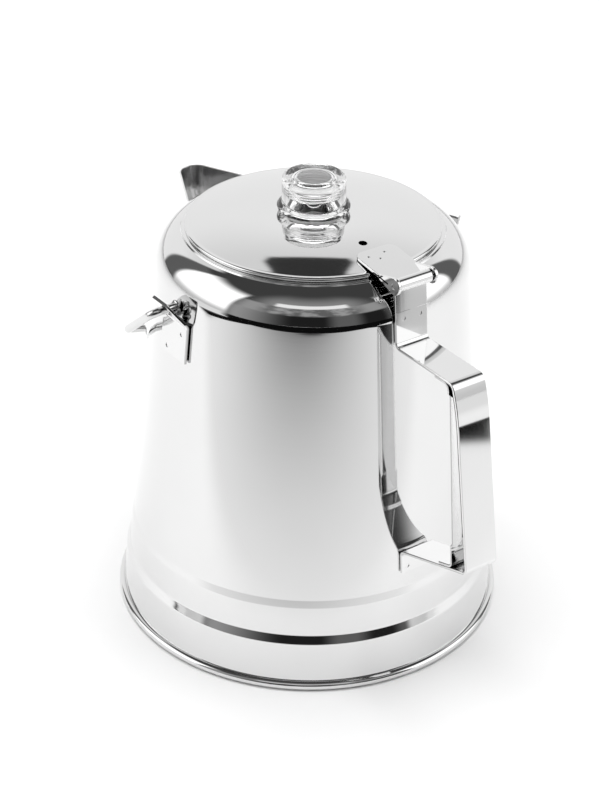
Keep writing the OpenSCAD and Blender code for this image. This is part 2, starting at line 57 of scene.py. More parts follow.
def unit(a, b):
    """Unit vector from one flat point to another."""
    v = Vector((b[0] - a[0], b[1] - a[1]))
    return v.normalized()


def left_of(v):
    """A flat direction turned a quarter turn to the left."""
    return Vector((-v[1], v[0]))


def rounded(points, radii, steps=10):
    """A flat path with each corner turned on its own radius."""
    out = [Vector(points[0])]
    for i in range(1, len(points) - 1):
        a, b = unit(points[i - 1], points[i]), unit(points[i], points[i + 1])
        turn = a.angle(b)
        side = 1 if a[0] * b[1] - a[1] * b[0] > 0 else -1
        radius = radii[i]
        if radius == 0 or turn < TINY:
            out.append(Vector(points[i]))
            continue
        start = Vector(points[i]) - a * radius * math.tan(turn / 2)
        centre = start + left_of(a) * radius * side
        for k in range(steps + 1):
            spin = Matrix.Rotation(side * turn * k / steps, 2)
            out.append(centre + spin @ (start - centre))
    out.append(Vector(points[-1]))
    return out


def add_object(name, data):
    """Puts new data in the scene as an object."""
    obj = bpy.data.objects.new(name, data)
    bpy.context.scene.collection.objects.link(obj)
    return obj


def smooth(obj, sharp_deg=SHARP_DEG):
    """Shades a piece smooth, with an edge kept wherever it turns more sharply than the angle."""
    obj.data.shade_smooth()
    obj.data.set_sharp_from_angle(angle=math.radians(sharp_deg))


def apply_modifiers(obj):
    """Makes what the modifiers show the object's own mesh."""
    graph = bpy.context.evaluated_depsgraph_get()
    mesh = bpy.data.meshes.new_from_object(obj.evaluated_get(graph))
    obj.modifiers.clear()
    obj.data = mesh


def settle_normals(obj):
    """Lets each large flat face keep its own direction, so that only the eased edges bend the light."""
    mod = obj.modifiers.new("normals", "WEIGHTED_NORMAL")
    mod.keep_sharp = True
    mod.weight = 50
    apply_modifiers(obj)


def add_boolean(obj, other, operation):
    """Joins another object to a piece, or takes it out, until the modifiers are applied."""
    mod = obj.modifiers.new("shape", "BOOLEAN")
    mod.operation = operation
    mod.solver = "EXACT"
    mod.object = other


def make_object(name, verts, faces, sharp_deg=SHARP_DEG):
    """A mesh object in metres from points in millimetres, smooth where it is smooth."""
    mesh = bpy.data.meshes.new(name)
    mesh.from_pydata([Vector(v) * MM for v in verts], [], faces)
    mesh.validate()
    work = bmesh.new()
    work.from_mesh(mesh)
    bmesh.ops.remove_doubles(work, verts=work.verts, dist=WELD_DISTANCE)
    bmesh.ops.recalc_face_normals(work, faces=work.faces)
    work.to_mesh(mesh)
    work.free()
    obj = add_object(name, mesh)
    smooth(obj, sharp_deg)
    return obj


def lathe(name, loop, steps=288, sharp_deg=SHARP_DEG):
    """Turns a closed outline of (radius, height) points round the Z axis."""
    verts, faces = [], []
    count = len(loop)
    for s in range(steps):
        a = 2 * math.pi * s / steps
        for r, z in loop:
            verts.append((r * math.cos(a), r * math.sin(a), z))
    for s in range(steps):
        here, there = s * count, ((s + 1) % steps) * count
        for i in range(count):
            j = (i + 1) % count
            if loop[i][0] < TINY and loop[j][0] < TINY:
                continue
            faces.append((here + i, there + i, there + j, here + j))
    return make_object(name, verts, faces, sharp_deg)


def rounded_box(half_w, half_h, radius, steps=3):
    """Outline of a rectangle with rounded corners."""
    out = []
    for cx, cy, start in ((1, 1, 0), (-1, 1, 90), (-1, -1, 180), (1, -1, 270)):
        centre = (cx * (half_w - radius), cy * (half_h - radius))
        out += arc(centre, radius, start, start + 90, steps)
    return out


def loft(name, rings):
    """Joins rings of equal length into a tube, capped at both ends."""
    count = len(rings[0])
    verts = [p for ring in rings for p in ring]
    faces = []
    for s in range(len(rings) - 1):
        here, there = s * count, (s + 1) * count
        for i in range(count):
            j = (i + 1) % count
            faces.append((here + i, here + j, there + j, there + i))
    faces.append(tuple(range(count)))
    faces.append(tuple(range((len(rings) - 1) * count, len(rings) * count)))
    return make_object(name, verts, faces)


def path_frames(path):
    """For each point of a flat path: the point and its left-hand normal, mitred at corners."""
    out = []
    for i, p in enumerate(path):
        a = unit(path[max(i - 1, 0)], path[max(i, 1)])
        b = unit(path[min(i, len(path) - 2)], path[min(i + 1, len(path) - 1)])
        m = left_of(a) + left_of(b)
        out.append((p, m * (2 / m.dot(m))))
    return out


def strip(name, path, place, half_w, thick, edge_r=0.3, widths=None):
    """Sweeps a flat strip with eased edges along a flat path.

    place(along, up, across) gives the point in space. widths, where given, has the half width
    at each point of the path. The easing is held below what the section can take.
    """
    rings = []
    for i, (p, n) in enumerate(path_frames(path)):
        w = widths[i] if widths else half_w
        r = min(edge_r, w * 0.9, thick * 0.49)
        section = rounded_box(w, thick / 2, r)
        rings.append([place(p[0] + n[0] * d, p[1] + n[1] * d, c) for c, d in section])
    return loft(name, rings)


def tube(name, points, radius, sides=40):
    """A round bar along a 3-D path."""
    rings = []
    points = [Vector(p) for p in points]
    tangent = (points[1] - points[0]).normalized()
    across = tangent.orthogonal().normalized()
    for i, p in enumerate(points):
        ahead = points[min(i + 1, len(points) - 1)] - points[max(i - 1, 0)]
        turn = tangent.rotation_difference(ahead.normalized())
        across = (turn @ across).normalized()
        tangent = ahead.normalized()
        up = tangent.cross(across)
        ring = []
        for k in range(sides):
            a = 2 * math.pi * k / sides
            ring.append(p + (across * math.cos(a) + up * math.sin(a)) * radius)
        rings.append(ring)
    return loft(name, rings)


def cut(obj, cutters):
    """Takes cutters out of a piece and applies the result."""
    for cutter in cutters:
        add_boolean(obj, cutter, "DIFFERENCE")
    apply_modifiers(obj)
    for cutter in cutters:
        bpy.data.objects.remove(cutter)
    smooth(obj)


def bar(name, start, axis, radius, length, sides=48):
    """A straight round bar, for pins and for cutters; start and axis in millimetres."""
    axis = Vector(axis).normalized()
    ends = [Vector(start), Vector(start) + axis * length]
    return tube(name, ends, radius, sides)


def join(name, objs):
    """Makes one object of several."""
    work = bmesh.new()
    for o in objs:
        work.from_mesh(o.data)
    mesh = bpy.data.meshes.new(name)
    work.to_mesh(mesh)
    work.free()
    obj = add_object(name, mesh)
    for o in objs:
        bpy.data.objects.remove(o)
    smooth(obj)
    return obj


# ---------------------------------------------------------------- node graph helpers


class Graph:
    """Short names for building a shader from arithmetic."""

    def __init__(self, tree):
        self.tree = tree

    def node(self, kind, **values):
        """A new node with some of its settings."""
        made = self.tree.nodes.new(kind)
        for key, value in values.items():
            setattr(made, key, value)
        return made

    def feed(self, socket, value):
        """Links a socket to another, or sets it to a number."""
        if isinstance(value, bpy.types.NodeSocket):
            self.tree.links.new(value, socket)
        else:
            socket.default_value = value

    def math(self, operation, *values):
        """One step of arithmetic."""
        made = self.node("ShaderNodeMath", operation=operation)
        for socket, value in zip(made.inputs, values):
            self.feed(socket, value)
        return made.outputs[0]

    def times(self, a, b):
        """a multiplied by b."""
        return self.math("MULTIPLY", a, b)

    def plus(self, a, b):
        """a and b added up."""
        return self.math("ADD", a, b)

    def minus(self, a, b):
        """b taken from a."""
        return self.math("SUBTRACT", a, b)

    def split(self, vector):
        """The three numbers of a vector."""
        made = self.node("ShaderNodeSeparateXYZ")
        self.feed(made.inputs[0], vector)
        return made.outputs

    def radius(self, x, y):
        """Distance from the Z axis."""
        return self.math("SQRT", self.plus(self.times(x, x), self.times(y, y)))

    def ease(self, value, low, high):
        """0 below low, 1 above high, smooth between; low may be above high."""
        made = self.node("ShaderNodeMapRange", interpolation_type="SMOOTHSTEP")
        self.feed(made.inputs["Value"], value)
        flip = low > high
        made.inputs["From Min"].default_value = min(low, high)
        made.inputs["From Max"].default_value = max(low, high)
        made.inputs["To Min"].default_value = 1.0 if flip else 0.0
        made.inputs["To Max"].default_value = 0.0 if flip else 1.0
        return made.outputs["Result"]

    def blend(self, base, value, mask):
        """base where mask is 0, value where it is 1."""
        made = self.node("ShaderNodeMix", data_type="FLOAT")
        self.feed(made.inputs[0], mask)
        self.feed(made.inputs[2], base)
        self.feed(made.inputs[3], value)
        return made.outputs[0]

    def window(self, value, low, high, soft):
        """1 between low and high, with soft edges."""
        rise = self.ease(value, low - soft, low + soft)
        fall = self.ease(value, high + soft, high - soft)
        return self.times(rise, fall)

    def noise(self, vector, scale, detail=2.0, roughness=0.5):
        """Soft random mottling."""
        made = self.node("ShaderNodeTexNoise")
        self.feed(made.inputs["Vector"], vector)
        made.inputs["Scale"].default_value = scale
        made.inputs["Detail"].default_value = detail
        made.inputs["Roughness"].default_value = roughness
        return made.outputs["Fac"]

    def grey(self, shader, value):
        """Gives a shader a neutral colour."""
        colour = self.node("ShaderNodeCombineColor")
        for socket in colour.inputs[:3]:
            self.feed(socket, value)
        self.feed(shader.inputs["Base Color"], colour.outputs[0])

    def bump(self, shader, height, strength, distance):
        """Lets a pattern roughen the way a surface faces."""
        made = self.node("ShaderNodeBump")
        made.inputs["Strength"].default_value = strength
        made.inputs["Distance"].default_value = distance
        self.feed(made.inputs["Height"], height)
        self.feed(shader.inputs["Normal"], made.outputs[0])


# ---------------------------------------------------------------- materials

# Patterns are laid out in metres, so a fineness is in waves per metre.
TURNED_FINE, TURNED_ROUND = 400.0, 0.35
STRAP_FINE, STRAP_LONG = 900.0, 12.0
GRAIN_HEIGHT = 0.0002
MOTTLE_FINE, MOTTLE_TONE = 28.0, 0.04
GLASS_INDEX, GLASS_TINT, GLASS_WAVE_FINE, GLASS_WAVE_HEIGHT = 1.47, 0.99, 130.0, 0.0006
# Painted shade in the glass: a dark grey disc with rings under the knob's crown, in place of the dark
# reflections the hollow crown shows.
CROWN_SHADE_TINT, CROWN_SHADE_RING_TINT, CROWN_SHADE_RING_FINE = 0.08, 0.04, 4200.0
CROWN_SHADE_R, CROWN_SHADE_Z = 7.9, 219.2
DUST_FINE = 900.0


def new_material(name):
    """A new material, the graph of its nodes, its shader and the place of each point on the piece."""
    mat = bpy.data.materials.new(name)
    mat.use_nodes = True
    g = Graph(mat.node_tree)
    place = g.node("ShaderNodeTexCoord").outputs["Object"]
    return mat, g, mat.node_tree.nodes["Principled BSDF"], place


def steel(name, tone, rough, grain="turned", grain_depth=0.02, streak=0.3):
    """Polished stainless: a bright metal with the fine grain that polishing leaves.

    grain is "turned" round the Z axis, or "along" a strap, whose grain varies mostly with Y.
    """
    mat, g, shader, place = new_material(name)
    shader.inputs["Metallic"].default_value = 1.0
    x, y, z = g.split(place)
    line = g.node("ShaderNodeCombineXYZ")
    if grain == "turned":
        g.feed(line.inputs[0], g.times(g.math("ARCTAN2", y, x), TURNED_ROUND))
        g.feed(line.inputs[1], g.times(g.radius(x, y), TURNED_FINE))
        g.feed(line.inputs[2], g.times(z, TURNED_FINE))
    else:
        g.feed(line.inputs[0], g.times(x, STRAP_LONG))
        g.feed(line.inputs[1], g.times(y, STRAP_FINE))
        g.feed(line.inputs[2], g.times(z, STRAP_LONG))
    fine = g.noise(line.outputs[0], 1.0, 3.0, 0.6)
    mottle = g.noise(place, MOTTLE_FINE, 2.0)
    g.grey(shader, g.plus(tone - MOTTLE_TONE / 2, g.times(mottle, MOTTLE_TONE)))
    worn = g.plus(g.times(mottle, rough / 2), g.times(fine, rough / 2))
    g.feed(shader.inputs["Roughness"], g.plus(worn, rough / 2))
    g.bump(shader, fine, grain_depth, GRAIN_HEIGHT)
    if grain == "turned":
        shader.inputs["Anisotropic"].default_value = streak
        tangent = g.node("ShaderNodeTangent", direction_type="RADIAL", axis="Z")
        g.feed(shader.inputs["Tangent"], tangent.outputs[0])
    return mat


def glass(name):
    """Clear moulded glass, wavy from its mould, with a painted grey disc in rings under the crown: painted
    shade standing in for the dark reflections in the hollow crown.
    """
    mat, g, shader, place = new_material(name)
    shader.inputs["Transmission Weight"].default_value = 1.0
    shader.inputs["IOR"].default_value = GLASS_INDEX
    waves = g.noise(place, GLASS_WAVE_FINE, 1.0)
    x, y, height = g.split(place)
    radius = g.radius(x, y)
    # Painted shade: the glass turns dark grey, with rings, in a thin disc under the crown, standing in for
    # the crown's dark reflections.
    level = g.window(height, (CROWN_SHADE_Z - 0.3) * MM, (CROWN_SHADE_Z + 0.3) * MM, 0.05 * MM)
    disc = g.ease(radius, (CROWN_SHADE_R + 0.2) * MM, (CROWN_SHADE_R - 0.2) * MM)
    rings = g.times(CROWN_SHADE_RING_TINT, g.math("SINE", g.times(radius, CROWN_SHADE_RING_FINE)))
    g.grey(shader, g.blend(GLASS_TINT, g.plus(CROWN_SHADE_TINT, rings), g.times(level, disc)))
    g.feed(shader.inputs["Roughness"], g.times(waves, 0.02))
    g.bump(shader, waves, 0.12, GLASS_WAVE_HEIGHT)
    return mat


def silicone(name):
    """Pale soft rubber with a dusty bloom."""
    mat, g, shader, place = new_material(name)
    dust = g.noise(place, DUST_FINE, 3.0)
    g.grey(shader, g.plus(0.72, g.times(dust, 0.1)))
    shader.inputs["Roughness"].default_value = 0.45
    shader.inputs["Subsurface Weight"].default_value = 0.2
    shader.inputs["Subsurface Radius"].default_value = (0.002, 0.002, 0.002)
    return mat


MIRROR = steel("steel_mirror_turned", 0.76, 0.05, "turned", 0.02, 0.5)
STRAP = steel("steel_mirror_strap", 0.79, 0.06, "along", 0.01)
PRESSED = steel("steel_pressed", 0.84, 0.24, "along", 0.01)
WIRE = steel("steel_wire", 0.74, 0.12, "along", 0.05)
SATIN = steel("steel_satin", 0.62, 0.28, "turned", 0.15, 0.4)
GLASS = glass("glass_clear")
SILICONE = silicone("silicone_soft")


def place_piece(obj, material, body, slot, *nodes):
    """Gives a piece its material and its body, and hides the CAD nodes that it stands for. The slot argument
    is not used.
    """
    if material in (STRAP, PRESSED):
        settle_normals(obj)
    obj.data.materials.clear()
    obj.data.materials.append(material)
    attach(obj, body)
    if nodes:
        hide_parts(*nodes)


def keep_node(name, material):
    """Keeps a CAD node's shape and gives it a finished material."""
    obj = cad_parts[name]
    obj.data.materials.clear()
    obj.data.materials.append(material)
    smooth(obj, 30)


# ---------------------------------------------------------------- body

# Sizes are in millimetres and angles in degrees. X points to the spout and Z up.
WALL_R0 = 90.9
TAPER = 0.098
TAPER_DEG = math.degrees(math.atan(TAPER))
SHEET = 0.9
GAP = 0.05
SHOULDER_Z = 180.0
SHOULDER_R = 20.0
SEAT_Z, SEAT_R, MOUTH_R, MOUTH_DEPTH = 197.2, 60.9, 55.0, 8.0
# Each band: where it starts, where it ends, and how far the wall steps out below it.
BANDS = ((23.9, 28.0, 1.4), (42.6, 46.3, 0.6))
BAND_EASE_R = 3.0
RIM_R, RIM_CENTRE, RIM_DROP = 2.2, 92.8, 0.12
HOLE_ROWS, HOLE_PITCH, HOLE_RISE, HOLE_FOOT_Z, HOLE_R = 6, 6, 8, 132, 1.6


def wall(z):
    """Outer radius of the plain wall at a height."""
    return WALL_R0 - TAPER * z


SHOULDER_C = (
    wall(SHOULDER_Z) - SHOULDER_R * math.cos(math.radians(TAPER_DEG)),
    SHOULDER_Z - SHOULDER_R * math.sin(math.radians(TAPER_DEG)),
)


def wall_r(z):
    """Outer radius of the body at a height, band steps and shoulder included."""
    if z > SHOULDER_Z:
        return SHOULDER_C[0] + math.sqrt(max(0.0, SHOULDER_R**2 - (z - SHOULDER_C[1]) ** 2))
    out = sum(step for low, high, step in BANDS if z < low)
    for low, high, step in BANDS:
        if low <= z < high:
            out += step * (high - z) / (high - low)
    return wall(z) + out


def band_points(inset):
    """The wall's outline from the foot to the start of the shoulder, with eased band edges."""
    foot = 2 * RIM_R + GAP
    out = sum(step for low, high, step in BANDS)
    corners = [(wall(foot) + out - inset, foot)]
    for low, high, step in BANDS:
        corners.append((wall(low) + out - inset, low))
        out -= step
        corners.append((wall(high) + out - inset, high))
    corners.append((wall(SHOULDER_Z) - inset, SHOULDER_Z))
    eased = rounded(corners, [0] + [BAND_EASE_R] * 2 * len(BANDS) + [0], 6)
    pitch = 6
    line = []
    for a, b in zip(eased, eased[1:]):
        parts = max(1, int((b - a).length / pitch))
        line += [tuple(a.lerp(b, k / parts)) for k in range(parts)]
    return line


def strainer_cutter():
    """The holes behind the spout, more of them in the higher rows."""
    start = wall(150) - 15
    length = 40
    holes = []
    for row in range(HOLE_ROWS):
        half = row // 2 + 1
        for i in range(-half, half + 1):
            at = (start, i * HOLE_PITCH, HOLE_FOOT_Z + row * HOLE_RISE)
            holes.append(bar("hole", at, (1, 0, 0), HOLE_R, length, 32))
    return join("holes", holes)


def build_body():
    """The pot's wall, with its bands, shoulder, lid seat and strainer holes."""
    end = math.degrees(math.acos((SEAT_R + 0.3 - SHOULDER_C[0]) / SHOULDER_R))
    outside = band_points(0) + arc(SHOULDER_C, SHOULDER_R, TAPER_DEG, end, 40)
    inside = band_points(SHEET) + arc(SHOULDER_C, SHOULDER_R - SHEET, TAPER_DEG, end, 40)
    mouth_foot = SEAT_Z - MOUTH_DEPTH
    seat = arc((SEAT_R - 0.25, SEAT_Z - 0.25), 0.25, 10, 90, 3)
    mouth = arc((MOUTH_R + 1, SEAT_Z - 1), 1, 90, 180, 6)
    mouth += [(MOUTH_R, mouth_foot), (MOUTH_R + SHEET, mouth_foot), (MOUTH_R + SHEET, SEAT_Z - SHEET)]
    mouth += [(SEAT_R - 0.6, SEAT_Z - SHEET)]
    body = lathe("body_wall", outside + seat + mouth + inside[::-1])
    cut(body, [strainer_cutter()])
    place_piece(body, MIRROR, "pot", "polished_steel", "body_shell")


def build_rim():
    """The rolled seam round the foot, flat where it stands."""
    loop = arc((RIM_CENTRE, RIM_R - RIM_DROP), RIM_R, -86, 266, 88)
    rim = lathe("base_seam", [(r, max(0.0, z)) for r, z in loop])
    place_piece(rim, MIRROR, "pot", "polished_steel", "base_rim")


build_body()
build_rim()

# ---------------------------------------------------------------- lid

LID_R, BEAD_R, LID_TOP, LID_T = 59.3, 1.1, 204.0, 0.8
PAD_R, PAD_MIDDLE_R = 18.5, 14.0
BEAD_C = (LID_R - BEAD_R, SEAT_Z + GAP + BEAD_R)
DOME_EDGE = LID_R - 1.3
DOME_DROP = LID_TOP - BEAD_C[1] - BEAD_R + 0.05
NECK_R = 9.6
NOTCH_R, NOTCH_ANGLE = 12.9, 56.0
HINGE = (74.3, 200.0)
VENT_AT, VENT_R = 37.8, 2.0


def dome(r):
    """Height of the lid's top surface at a radius."""
    return LID_TOP - DOME_DROP * (max(0.0, r - PAD_R) / (DOME_EDGE - PAD_R)) ** 2


def dome_line(edge, drop):
    """The dome's outline from the pad to an edge, lowered by a distance."""
    steps = 36
    radii = [PAD_R + (edge - PAD_R) * i / steps for i in range(steps + 1)]
    return [(r, dome(r) - drop) for r in radii]


def build_lid():
    """The domed lid with its bead, its steam vent and the knob's hole with two notches."""
    top = dome_line(DOME_EDGE, 0.0)
    under = dome_line(BEAD_C[0] - BEAD_R, LID_T)
    hole = NECK_R + 0.6
    loop = [(hole, LID_TOP), (PAD_MIDDLE_R, LID_TOP)] + top + arc(BEAD_C, BEAD_R, 90, -195, 36) + under[::-1]
    loop += [(PAD_MIDDLE_R, LID_TOP - LID_T), (hole, LID_TOP - LID_T)]
    lid = lathe("lid_dome", loop)
    notches = []
    for turn in (0, 180):
        ring = [(0.0, 0.0)] + arc((0, 0), NOTCH_R, turn - NOTCH_ANGLE / 2, turn + NOTCH_ANGLE / 2, 16)
        rings = [[(x, y, z) for x, y in ring] for z in (LID_TOP - 4, LID_TOP + 4)]
        notches.append(loft("notch", rings))
    vent = bar("vent", (-VENT_AT, 0, LID_TOP - 10), (0, 0, 1), VENT_R, 20, 40)
    cut(lid, notches + [vent])
    place_piece(lid, MIRROR, "lid", "polished_steel", "lid_shell")


build_lid()

# ---------------------------------------------------------------- spout

SPOUT_REACH, SPOUT_TIP_Z, SPOUT_LIP_W = 108.2, 185.8, 17.4
SPOUT_KEEL_Z, SPOUT_ROOT_HALF = 104.0, 29.0
SPOUT_SHELF = 12.0
SPOUT_KEEL_R = 5.0
SPOUT_GAP = 0.08
SPOUT_TIP_STEPS, SPOUT_SIDE_STEPS = 14, 24
SPOUT_ROWS, SPOUT_COLUMNS = 46, 40


def spout_outline(z, inset):
    """Half of the trough's level outline at a height, from the tip round to the root."""
    shelf = SPOUT_TIP_Z - SPOUT_SHELF
    s = min(1.0, max(0.0, (shelf - z) / (shelf - SPOUT_KEEL_Z)))

    def between(at_lip, at_keel):
        return at_lip * (1 - s) + at_keel * s

    tip_r = between(SPOUT_LIP_W / 2 - inset, SPOUT_KEEL_R - inset)
    tip_x = between(SPOUT_REACH - SPOUT_LIP_W / 2, wall(SPOUT_KEEL_Z) - SPOUT_KEEL_R)
    root_x = between(wall(SHOULDER_Z) - 14, wall(SPOUT_KEEL_Z) - 8)
    root = Vector((root_x, between(SPOUT_ROOT_HALF - inset, SPOUT_KEEL_R - inset)))
    to_root = root - Vector((tip_x, 0))
    lean = math.degrees(math.atan2(to_root[1], to_root[0]) - math.acos(tip_r / to_root.length))
    line = [Vector(p) for p in arc((tip_x, 0), tip_r, 0, lean, SPOUT_TIP_STEPS)]
    sides = range(1, SPOUT_SIDE_STEPS + 1)
    return line + [line[-1].lerp(root, k / SPOUT_SIDE_STEPS) for k in sides]


def spout_row(z, inset):
    """Points along the outline, from the wall on one side round the tip to the wall on the other."""
    reach = wall_r(z) + SPOUT_GAP
    line = spout_outline(z, inset)
    tip, start, root = line[:SPOUT_TIP_STEPS], line[SPOUT_TIP_STEPS], line[-1]
    low, high = 0.0, 1.0
    for _ in range(30):
        mid = (low + high) / 2
        if start.lerp(root, mid).length > reach:
            low = mid
        else:
            high = mid
    end = start.lerp(root, low)
    straight = SPOUT_COLUMNS - SPOUT_TIP_STEPS
    half = tip + [start.lerp(end, k / straight) for k in range(straight + 1)]
    for k, p in enumerate(half):
        if p.length < reach:
            half[k] = p.normalized() * reach
    return [(p[0], -p[1], z) for p in reversed(half[1:])] + [(p[0], p[1], z) for p in half]


def keel_height(start, inset):
    """The lowest height, from start up, where the trough stands clear of the wall."""
    z = start
    while spout_outline(z, inset)[0].length < wall_r(z) + SPOUT_GAP + 0.3:
        z += 0.25
    return z


def build_spout():
    """The trough as one sheet: up its outside, over its lip and down its inside."""
    keel = keel_height(SPOUT_KEEL_Z, 0)
    keel_in = keel_height(keel, SHEET)
    rows = SPOUT_ROWS
    ease, bevel = 0.25, 0.08
    top, below_lip = SPOUT_TIP_Z, SPOUT_TIP_Z - ease
    outside = [(keel + (below_lip - keel) * i / rows, 0) for i in range(rows + 1)]
    lip = [(top - bevel, bevel), (top, ease), (top, SHEET - ease), (top - bevel, SHEET - bevel)]
    inside = [(below_lip + (keel_in - below_lip) * i / rows, SHEET) for i in range(rows + 1)]
    verts, faces = [], []
    for z, inset in outside + lip + inside:
        verts += spout_row(z, inset)
    width = 2 * SPOUT_COLUMNS + 1
    total = len(outside + lip + inside)
    for r in range(total - 1):
        for c in range(width - 1):
            a = r * width + c
            faces.append((a, a + 1, a + width + 1, a + width))
    for r in range(total // 2):
        other = total - 1 - r
        for c in (0, width - 1):
            low, high = r * width + c, other * width + c
            if other - r > 1:
                faces.append((low, low + width, high - width, high))
    last = (total - 1) * width
    faces.append(list(range(width)) + [last + c for c in range(width - 1, -1, -1)])
    spout = make_object("spout_trough", verts, faces, 40)
    place_piece(spout, PRESSED, "pot", "polished_steel", "spout")


build_spout()

# ---------------------------------------------------------------- handle

STRAP_W, STRAP_T = 17.5, 1.4
GRIP_TOP, GRIP_BOW, GRIP_LOW = Vector((114.2, 169.5)), Vector((118.45, 158.4)), Vector((131.15, 80.8))
BOW_R = 90
ARM_TOP_Z, ARM_LOW_Z, TAB_FOOT_Z = 169.4, 66.1, 55.0
LINER_T, LINER_GAP, LINER_FOLD = 1.2, (3.0, 10.6), 2.6
FLANGE_GAP, FLANGE_TOP_Z, FLANGE_CURVE_Z, FLANGE_FOOT_Z = 0.35, 164.0, 103.0, 89.0
BARREL_R, PIN_R = 3.0, 1.5
MARK_R, MARK_DEPTH = 1.2, 0.3


def handle_side(along, up, across):
    """A point on the handle's side of the pot."""
    return (-along, across, up)


def on_wall(z, thick):
    """A point on the middle of a strap that lies on the wall."""
    return Vector((wall(z) + (GAP + thick / 2) / math.cos(math.radians(TAPER_DEG)), z))


def dense(path, pitch=3.0):
    """Adds points to the straight runs of a path."""
    out = []
    for a, b in zip(path, path[1:]):
        parts = max(1, int((b - a).length / pitch))
        out += [a.lerp(b, k / parts) for k in range(parts)]
    return out + [path[-1]]


def mark_cutter(at, y, thick):
    """A shallow round dent on the outer face of the strap."""
    out = Vector((-math.cos(math.radians(TAPER_DEG)), 0, math.sin(math.radians(TAPER_DEG))))
    start = Vector((-at[0], y, at[1])) + out * (thick / 2 - MARK_DEPTH)
    return bar("mark", start, out, MARK_R, 5, 32)


def build_strap():
    """The whole strap: hinge end, upper tab, arm, grip, lower arm and lower tab."""
    barrel_in = HINGE[0] - BARREL_R + STRAP_T / 2
    corners = [Vector((barrel_in, HINGE[1])), on_wall(186, STRAP_T), on_wall(ARM_TOP_Z, STRAP_T)]
    corners += [GRIP_TOP, GRIP_BOW, GRIP_LOW, on_wall(ARM_LOW_Z, STRAP_T), on_wall(TAB_FOOT_Z, STRAP_T)]
    path = dense(rounded(corners, [0, 30, 3, 3.5, BOW_R, 3, 3, 0], 12))
    strap = strip("handle_band", path, handle_side, STRAP_W / 2, STRAP_T, 0.35)
    spots = ((182.6, -4.5), (182.6, 4.5), (58.1, -5.5), (58.1, 5.5))
    cut(strap, [mark_cutter(on_wall(z, STRAP_T), y, STRAP_T) for z, y in spots])
    place_piece(strap, STRAP, "pot", "polished_steel", "handle_strap")


def turned(name, loop, at):
    """A lathe piece whose axis runs along Y through a point."""
    obj = lathe(name, loop, 64)
    obj.data.transform(Matrix.Translation(Vector(at) * MM) @ Matrix.Rotation(math.pi / 2, 4, "X"))
    return obj


def build_barrel():
    """The strap's rolled end, which the hinge pin passes through."""
    bore, half, ease = PIN_R + 0.06, STRAP_W / 2, 0.3
    loop = [(bore, -half), (BARREL_R - ease, -half), (BARREL_R, -half + ease)]
    loop += [(BARREL_R, half - ease), (BARREL_R - ease, half), (bore, half)]
    barrel = turned("handle_barrel", loop, (-HINGE[0], 0, HINGE[1]))
    place_piece(barrel, STRAP, "pot", "polished_steel")


def meet(p, u, q, v):
    """Where two flat lines cross."""
    return p + u * ((v[1] * (q[0] - p[0]) - v[0] * (q[1] - p[1])) / (u[0] * v[1] - u[1] * v[0]))


def channel_ring(half_w, thick, flange):
    """Outline of a channel: a base with a flange along each side."""
    deep = max(flange, thick / 2)
    ease = LINER_FOLD if flange > LINER_FOLD else 0.5
    right = arc((half_w - ease, ease - thick / 2), ease, -90, 0, 10)
    right += [(half_w, deep), (half_w - thick, deep), (half_w - thick, thick / 2)]
    return right + [(-c, d) for c, d in reversed(right)]


def at_height(a, b, z):
    """The point at a height on the straight line through two points."""
    return a + (b - a) * ((z - a[1]) / (b[1] - a[1]))


def flange_edge(foot):
    """The outer edge of a liner flange, seen from the side: down the grip, then curving in to its foot."""
    inset = STRAP_T / 2 + FLANGE_GAP
    grip = rounded([GRIP_TOP, GRIP_BOW, GRIP_LOW], [0, BOW_R, 0], 12)
    line = [p - n * inset for p, n in path_frames(grip)]
    runs = [(a, b) for a, b in zip(line, line[1:]) if a[1] >= FLANGE_TOP_Z > b[1]]
    start = [at_height(a, b, FLANGE_TOP_Z) for a, b in runs]
    turn = at_height(line[-2], line[-1], FLANGE_CURVE_Z)
    corner = at_height(line[-2], line[-1], FLANGE_FOOT_Z + 3)
    straight = [p for p in line if FLANGE_CURVE_Z < p[1] < FLANGE_TOP_Z]
    steps = 16
    curve = []
    for k in range(1, steps + 1):
        t = k / steps
        curve.append(turn * (1 - t) ** 2 + corner * 2 * t * (1 - t) + foot * t * t)
    return start + straight + [turn] + curve


def read_line(points, s):
    """The height at a distance along a line of (distance, height) points, or 0 beyond its ends."""
    for (s0, d0), (s1, d1) in zip(points, points[1:]):
        if s0 <= s <= s1:
            return d0 + (d1 - d0) * (s - s0) / (s1 - s0)
    return 0.0


